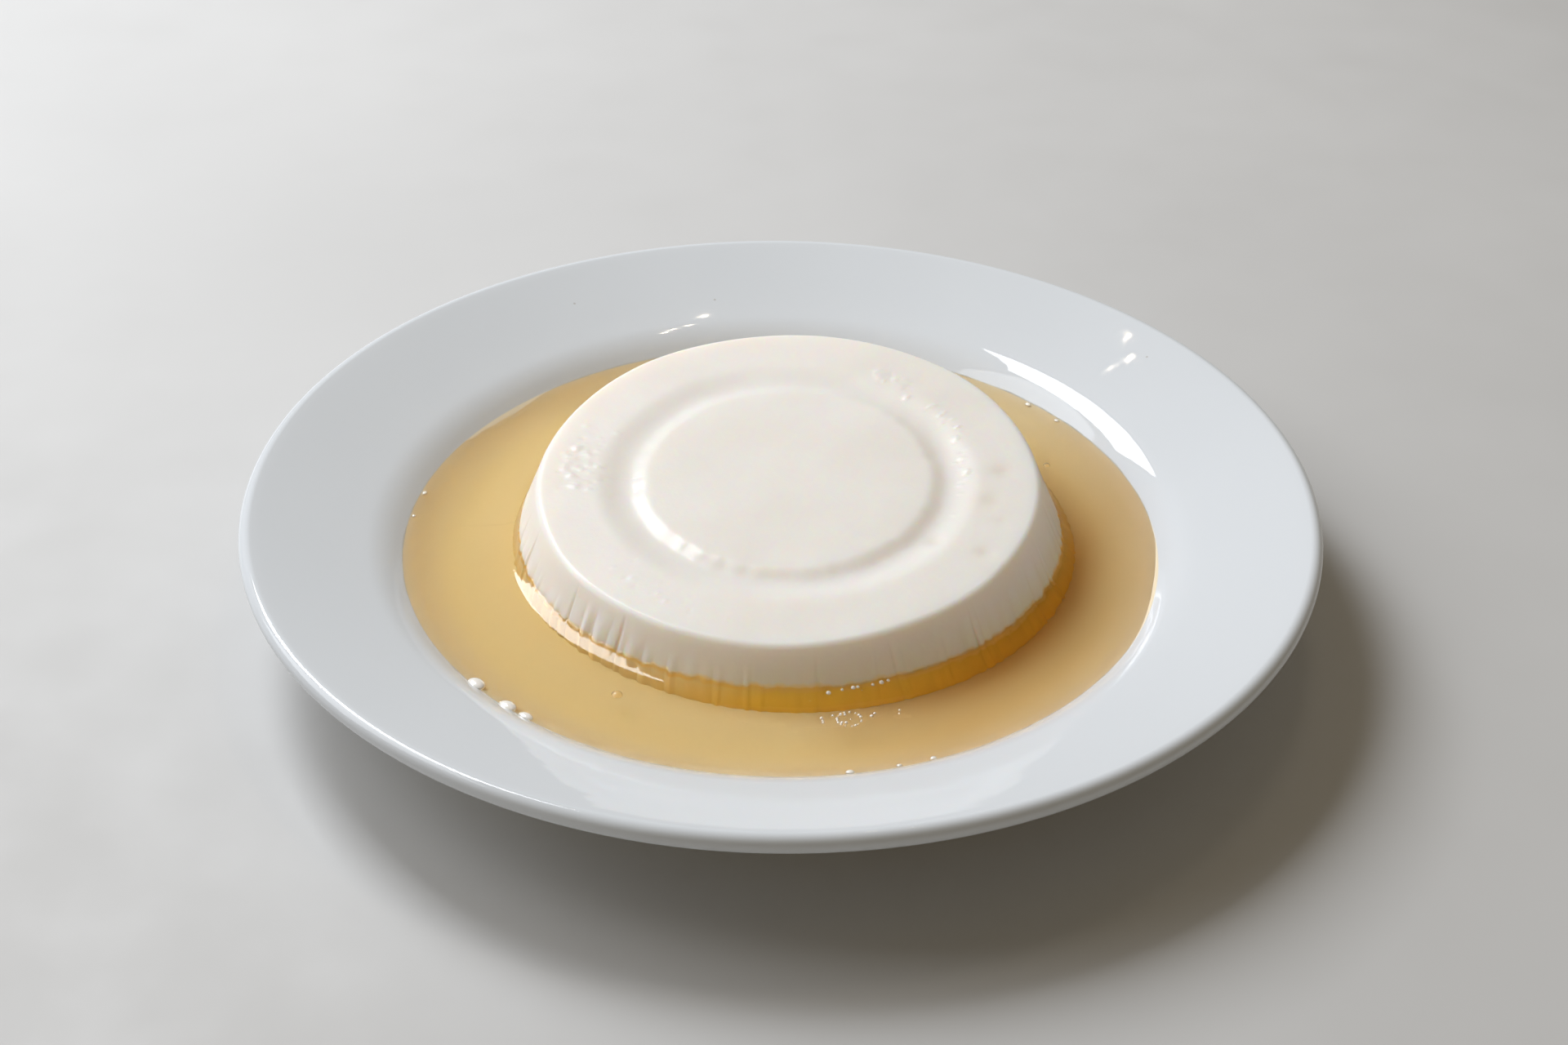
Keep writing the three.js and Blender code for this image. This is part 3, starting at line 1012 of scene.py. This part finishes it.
def make_syrup_pool(material):
    """A closed ring of syrup: floor, skin, and a hole that fits the dessert."""
    angle = round_angles(SYRUP_AROUND)
    top = syrup_top(angle)
    out = np.stack([np.cos(angle), np.sin(angle), np.zeros_like(angle)], 1)
    lip_out = top[0] + out * SYRUP_BITE
    lip_in = top[-1] - out * SYRUP_BITE
    floor_z = FLOOR_Z - SYRUP_BITE
    inner_foot = side_ring(angle, 0.0, SYRUP_BITE)
    inner_foot[:, 2] = floor_z
    well, _ = wall_points(SYRUP_BITE)
    rings = [inner_foot]
    for radius, height in well[::2]:
        heights = np.full(len(angle), height)
        rings.append(np.column_stack([radius * out[:, 0], radius * out[:, 1], heights]))
    rings.append(lip_out)
    rings.extend(top)
    rings.append(lip_in)
    for share in HOLE_SHARES:
        height = floor_z + (lip_in[:, 2] - floor_z) * share
        ring = side_ring(angle, share_at(angle, height), SYRUP_BITE)
        ring[:, 2] = height
        rings.append(ring)
    return loft("syrup_pool", rings, material, looped=True)


# ---------------------------------------------------------------------------
# Bubbles, froth, and pale beads and drops that stand in for glints
# ---------------------------------------------------------------------------

# Bubbles: x, y, radius and height
BUBBLES = [
    (-30.7, -54.5, 1.1, 0.7),
    (58.6, 29.0, 0.8, 0.5),
]
BUBBLE_WALL = 0.13
BUBBLE_SINK = 0.06
# Single beads of froth: x, y and radius
BEADS = [
    (8.0, -60.4, 0.34),
    (8.2, -61.2, 0.26),
    (8.3, -61.9, 0.3),
    (10.1, -59.6, 0.28),
    (17.4, -59.7, 0.34),
    (18.0, -58.9, 0.3),
    (22.7, -57.9, 0.26),
    (22.6, -59.0, 0.22),
]
# Rings of froth: x, y, radius and count
FROTH_RINGS = [(13.2, -60.8, 2.3, 17), (12.2, -60.6, 1.3, 6)]
FROTH_SEED = 44
FROTH_SCATTER = 0.35
FROTH_SIZES = (0.16, 0.34)
# Pale beads along the dessert that stand in for glints on the skin (painted glints): turn, distance
# from the side and radius
GLINT_BEADS_ALONG = [
    (-82.2, 1.4, 0.5),
    (-79.5, 1.0, 0.32),
    (-77.3, 0.9, 0.48),
    (-76.4, 0.8, 0.36),
    (-73.4, 0.9, 0.34),
    (-71.6, 0.8, 0.5),
    (-70.2, 0.6, 0.34),
]
# A bead's height as a share of its radius, and its points and rings
BEAD_HEIGHT = 0.8
BEAD_AROUND = 16
BEAD_STEPS = 5
# Pale drops at the pool's edge that stand in for its glints, partly drops and partly painted glints:
# turn round the plate, half length and half width
GLINT_DROPS = [
    (-137.7, 2.1, 1.6),
    (-130.8, 2.0, 1.4),
    (-127.3, 1.6, 1.1),
    (170.1, 0.7, 0.6),
    (176.7, 0.5, 0.5),
    (-80.4, 0.9, 0.7),
    (-73.6, 0.6, 0.5),
    (-68.7, 0.7, 0.6),
    (43.4, 0.8, 0.6),
    (36.7, 0.7, 0.5),
]
DROP_R = 77.9
DROP_RISE = 0.5
DROP_SINK = 0.15


def dome_rings(centre, size, shape=(1.0, 1.0), turn=0.0, around=32, steps=9):
    """Rings of half a ball from its foot to its tip: size is its radius and
    height, shape stretches it along and across the turned axes."""
    angle = round_angles(around)
    along_it = shape[0] * size[0] * np.cos(angle)
    across_it = shape[1] * size[0] * np.sin(angle)
    cos_turn, sin_turn = math.cos(turn), math.sin(turn)
    flat_x = along_it * cos_turn - across_it * sin_turn
    flat_y = along_it * sin_turn + across_it * cos_turn
    rings = []
    for rise in np.linspace(0, math.pi / 2, steps + 1)[:-1]:
        reach = math.cos(rise)
        height = np.full(around, centre[2] + size[1] * math.sin(rise))
        rings.append(np.column_stack([centre[0] + flat_x * reach, centre[1] + flat_y * reach, height]))
    rings.append(np.array([[centre[0], centre[1], centre[2] + size[1]]]))
    return rings


def gather(name, lofts, material):
    """One object from several lofts of rings."""
    all_rings, faces = [], []
    for rings in lofts:
        faces += loft_faces(rings, False, sum(len(ring) for ring in all_rings))
        all_rings += rings
    return piece_from(name, np.concatenate(all_rings), faces, material)


def skin_height(x, y):
    """The pool's skin at a place, far from the plate's wall."""
    angle = np.array([math.atan2(y - BASE_CENTRE[1], x - BASE_CENTRE[0])])
    side = side_ring(angle, share_at(angle, SYRUP_LEVEL))[0]
    away = math.hypot(x - BASE_CENTRE[0], y - BASE_CENTRE[1]) - math.dist(side[:2], BASE_CENTRE)
    return SYRUP_LEVEL + float(inner_skin(smooth_climb(angle), max(away, 0.0))[0])


def froth_beads():
    """Centre and radius of every bead of froth, and of the pale beads that stand in for glints."""
    rng = np.random.default_rng(FROTH_SEED)
    beads = list(BEADS)
    for x, y, radius, count in FROTH_RINGS:
        for i in range(count):
            angle = TAU * (i + rng.uniform(-FROTH_SCATTER, FROTH_SCATTER)) / count
            size = rng.uniform(*FROTH_SIZES)
            beads.append((x + radius * math.cos(angle), y + radius * math.sin(angle), size))
    # Pale beads that stand in for glints on the skin (painted glints)
    for turn, away, size in GLINT_BEADS_ALONG:
        angle = np.array([math.radians(turn)])
        side = side_ring(angle, share_at(angle, SYRUP_LEVEL + INNER_CLIMB))[0]
        beads.append((side[0] + away * math.cos(angle[0]), side[1] + away * math.sin(angle[0]), size))
    return beads


def make_bubbles(material):
    """Thin domes of film on the pool: each is a skin with an inner face."""
    lofts = []
    for x, y, radius, height in BUBBLES:
        foot = (x, y, skin_height(x, y) - BUBBLE_SINK)
        outer = dome_rings(foot, (radius, height))
        inner = dome_rings(foot, (radius - BUBBLE_WALL, height - BUBBLE_WALL))
        lofts.append(inner[::-1] + outer)
    return gather("bubbles", lofts, material)


def make_beads(material):
    """Closed half balls of froth, and of pale beads that stand in for glints (painted glints), a
    little sunk in the skin.
    """
    lofts = []
    for x, y, radius in froth_beads():
        foot = (x, y, skin_height(x, y) - BUBBLE_SINK)
        size = (radius, BEAD_HEIGHT * radius + BUBBLE_SINK)
        rings = dome_rings(foot, size, around=BEAD_AROUND, steps=BEAD_STEPS)
        lofts.append([np.array([foot])] + rings)
    return gather("froth_and_glints", lofts, material)


def make_glint_drops(material):
    """Pale drops on the wall where the pool meets it, which stand in for its glints: partly drops,
    partly painted glints.
    """
    lofts = []
    for turn, length, width in GLINT_DROPS:
        angle = math.radians(turn)
        foot = (DROP_R * math.cos(angle), DROP_R * math.sin(angle), SYRUP_LEVEL - DROP_SINK)
        size = (1.0, DROP_RISE * width + DROP_SINK)
        lofts.append([np.array([foot])] + dome_rings(foot, size, (width, length), angle))
    return gather("glint_drops", lofts, material)


# ---------------------------------------------------------------------------
# Camera, light and floor
# ---------------------------------------------------------------------------

# The camera's place in metres, and the lens on its sensor
CAMERA_AT = Vector((0.0, -0.3779, 0.2697))
CAMERA_TURN = math.radians(0.092)
CAMERA_DOWN = math.radians(34.007)
CAMERA_ROLL = math.radians(-0.725)
CAMERA_LENS = 50.0
CAMERA_SENSOR = 36.0
CAMERA_CLIP = 0.01
EXPOSURE = 2.5
# Lights: azimuths and elevations are degrees, distances and radii are metres
LIGHT_DISTANCE = 1.2
DAYLIGHT = (0.96, 1.0, 1.06)
BULB_DISTANCE = 0.93
BULB_COLOUR = (1.0, 0.86, 0.66)
# Bulbs: azimuth, elevation, radius and power
BULBS = [
    (-12.6, 52.5, 0.002, 0.0022),
    (-13.6, 51.1, 0.003, 0.0030),
    (-14.8, 51.5, 0.0015, 0.0006),
    (39.0, 74.0, 0.003, 0.05),
    (29.0, 72.6, 0.003, 0.05),
    (19.0, 71.2, 0.003, 0.05),
    (8.1, 65.5, 0.004, 0.006),
]
# Panels: azimuths, elevations and radiance
PANELS = [
    ("window", (-53, -27), (35, 63), 2.65),
    ("left_wall", (-98, -58), (20, 60), 0.55),
]
ROOM = (1.0, 0.85, 0.62)
ROOM_RADIANCE = 0.032
FLOOR_HALF = 40000.0


def make_camera():
    level = Vector((math.sin(CAMERA_TURN), math.cos(CAMERA_TURN), 0))
    forward = level * math.cos(CAMERA_DOWN) - Vector((0, 0, math.sin(CAMERA_DOWN)))
    right = Vector((math.cos(CAMERA_TURN), -math.sin(CAMERA_TURN), 0))
    down = forward.cross(right)
    image_right = right * math.cos(CAMERA_ROLL) + down * math.sin(CAMERA_ROLL)
    image_down = down * math.cos(CAMERA_ROLL) - right * math.sin(CAMERA_ROLL)
    data = bpy.data.cameras.new("camera")
    data.lens = CAMERA_LENS
    data.sensor_width = CAMERA_SENSOR
    data.clip_start = CAMERA_CLIP
    camera = bpy.data.objects.new("camera", data)
    turn = Matrix((image_right, -image_down, -forward)).transposed()
    camera.matrix_world = Matrix.Translation(CAMERA_AT) @ turn.to_4x4()
    bpy.context.scene.collection.objects.link(camera)
    bpy.context.scene.camera = camera


def direction(azimuth, elevation):
    """Unit vector towards a light; azimuth 0 is +Y and 90 is +X."""
    a, e = math.radians(azimuth), math.radians(elevation)
    return Vector((math.sin(a) * math.cos(e), math.cos(a) * math.cos(e), math.sin(e)))


def panel(name, azimuths, elevations, radiance):
    """A soft panel that fills this window of directions, seen from the dish."""
    azimuth, elevation = sum(azimuths) / 2, sum(elevations) / 2
    half_width = math.radians(azimuths[1] - azimuths[0]) / 2 * math.cos(math.radians(elevation))
    half_height = math.radians(elevations[1] - elevations[0]) / 2
    data = bpy.data.lights.new(name, "AREA")
    data.shape = "RECTANGLE"
    data.size = 2 * LIGHT_DISTANCE * math.tan(half_width)
    data.size_y = 2 * LIGHT_DISTANCE * math.tan(half_height)
    data.energy = radiance * math.pi * data.size * data.size_y
    data.color = DAYLIGHT
    light = bpy.data.objects.new(name, data)
    towards = direction(azimuth, elevation)
    light.location = towards * LIGHT_DISTANCE
    light.rotation_mode = "QUATERNION"
    light.rotation_quaternion = towards.to_track_quat("Z", "Y")
    bpy.context.scene.collection.objects.link(light)


def bulb(name, azimuth, elevation, radius, power):
    """A small far lamp; it only shows as a glint in wet and glazed places."""
    data = bpy.data.lights.new(name, "POINT")
    data.shadow_soft_size = radius
    data.energy = power
    data.color = BULB_COLOUR
    light = bpy.data.objects.new(name, data)
    light.location = direction(azimuth, elevation) * BULB_DISTANCE
    bpy.context.scene.collection.objects.link(light)


def make_world():
    """A dim, warm room."""
    world = bpy.data.worlds.new("studio")
    world.use_nodes = True
    background = world.node_tree.nodes["Background"]
    background.inputs["Color"].default_value = rgba(ROOM)
    background.inputs["Strength"].default_value = ROOM_RADIANCE
    bpy.context.scene.world = world


def make_lights():
    for values in PANELS:
        panel(*values)
    for i, values in enumerate(BULBS):
        bulb(f"bulb_{i}", *values)
    make_world()


def make_floor_plane():
    half = FLOOR_HALF
    corners = [(-half, -half, 0), (half, -half, 0), (half, half, 0), (-half, half, 0)]
    floor = piece_from("floor", corners, [(0, 1, 2, 3)], make_floor())


# ---------------------------------------------------------------------------
# The dish
# ---------------------------------------------------------------------------


def stand_for(piece, node):
    """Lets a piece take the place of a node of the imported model."""
    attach(piece, "root")
    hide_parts(node)


scene = bpy.context.scene
scene.view_settings.view_transform = "Standard"
scene.view_settings.exposure = EXPOSURE
make_camera()
make_lights()
make_floor_plane()
stand_for(make_plate(make_glaze()), "plate")
stand_for(make_dessert(make_cream()), "panna_cotta")
stand_for(make_syrup_pool(make_syrup()), "syrup")
froth_and_glints = make_froth_and_glints()
for piece in (make_bubbles(make_bubble_film()), make_beads(froth_and_glints), make_glint_drops(froth_and_glints)):
    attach(piece, "root")
